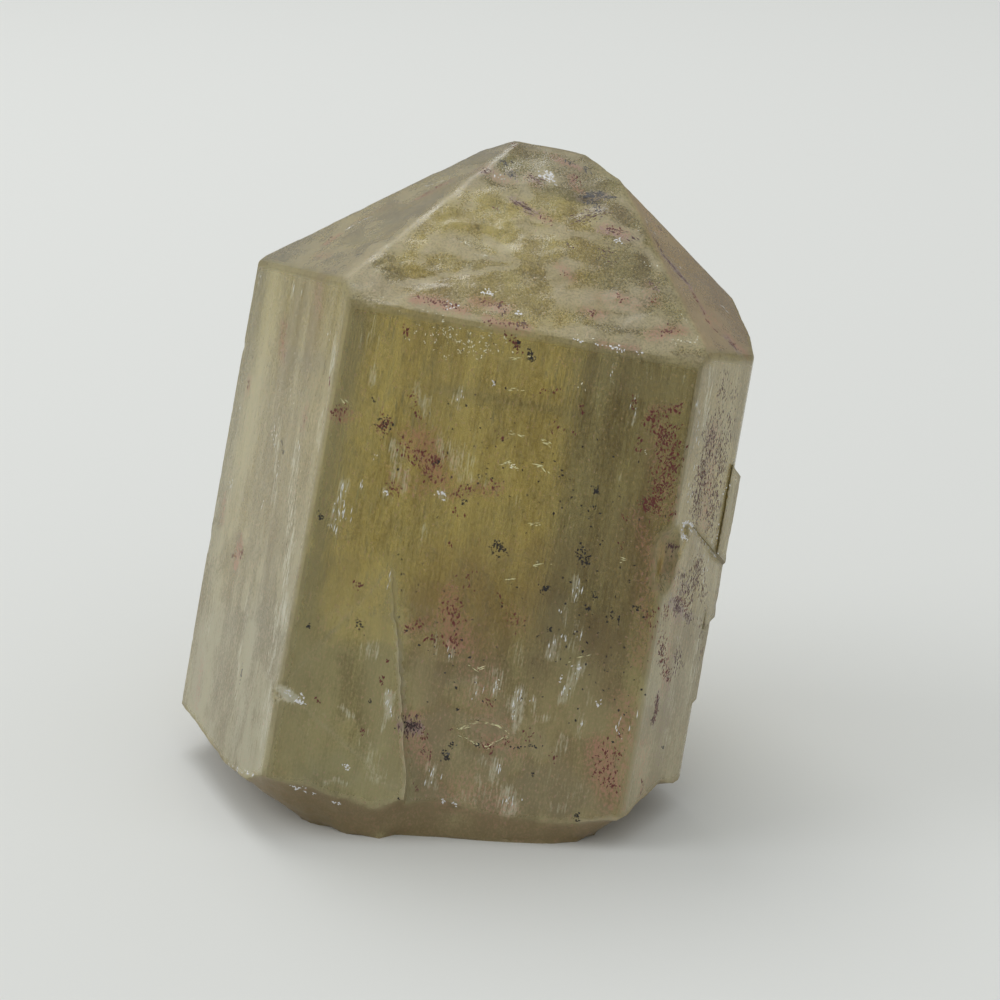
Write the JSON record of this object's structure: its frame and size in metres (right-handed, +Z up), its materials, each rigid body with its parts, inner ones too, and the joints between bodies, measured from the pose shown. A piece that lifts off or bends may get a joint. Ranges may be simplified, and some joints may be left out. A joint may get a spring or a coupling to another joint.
{
  "type": "fluorapatite crystal",
  "caption": "Stubby translucent olive yellow-green apatite crystal, a hexagonal prism with a pyramid end, leaning as it rests on its broken base.",
  "frame": {"origin": "middle of the flat spot on the broken base, on the surface that the crystal rests on", "axes": "+Z up from the resting surface, -Y towards the broad front prism face, +X to the right of it; the crystal's long axis leans about 10 degrees to +X and 12 degrees to +Y"},
  "size_m": [0.0303, 0.0282, 0.0323],
  "materials": {
    "apatite": "vitreous, growth-lined on the prism, etched on the pyramid, uneven on the break"
  },
  "bodies": {
    "root": {"apatite_crystal": "apatite"}
  },
  "joints": []
}
